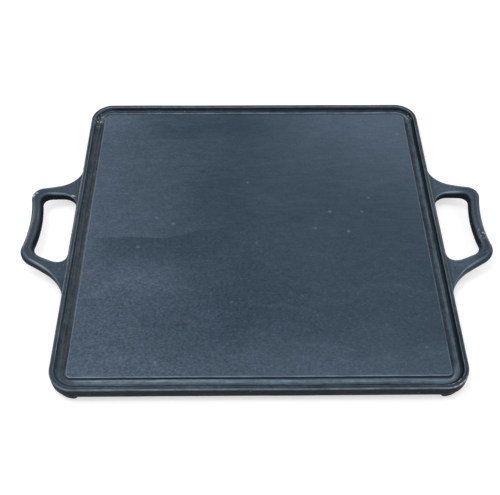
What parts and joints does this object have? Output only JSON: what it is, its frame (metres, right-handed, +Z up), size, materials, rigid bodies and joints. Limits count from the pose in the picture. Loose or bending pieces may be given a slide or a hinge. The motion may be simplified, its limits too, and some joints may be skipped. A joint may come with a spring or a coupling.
{
  "type": "camp griddle plate",
  "caption": "Square cast-iron camp griddle plate: a raised flat cooking face with a drip gutter round it, a low rim, loop handles rising at the sides and short corner feet.",
  "frame": {"origin": "centre of the plate, on the surface that the feet stand on", "axes": "+X from the left handle to the right handle, +Y from the front edge to the rear edge, +Z up"},
  "size_m": [0.4976, 0.4, 0.0313],
  "materials": {
    "seasoned_face": "satin, oil-seasoned, fine cast grain",
    "cast_skin": "semi-gloss, oil-seasoned, as cast"
  },
  "bodies": {
    "root": {"cooking_plate": "seasoned_face", "drip_gutter": "cast_skin", "rim": "cast_skin", "left_handle": "cast_skin", "right_handle": "cast_skin", "front_left_foot": "cast_skin", "front_right_foot": "cast_skin", "rear_left_foot": "cast_skin", "rear_right_foot": "cast_skin"}
  },
  "joints": []
}
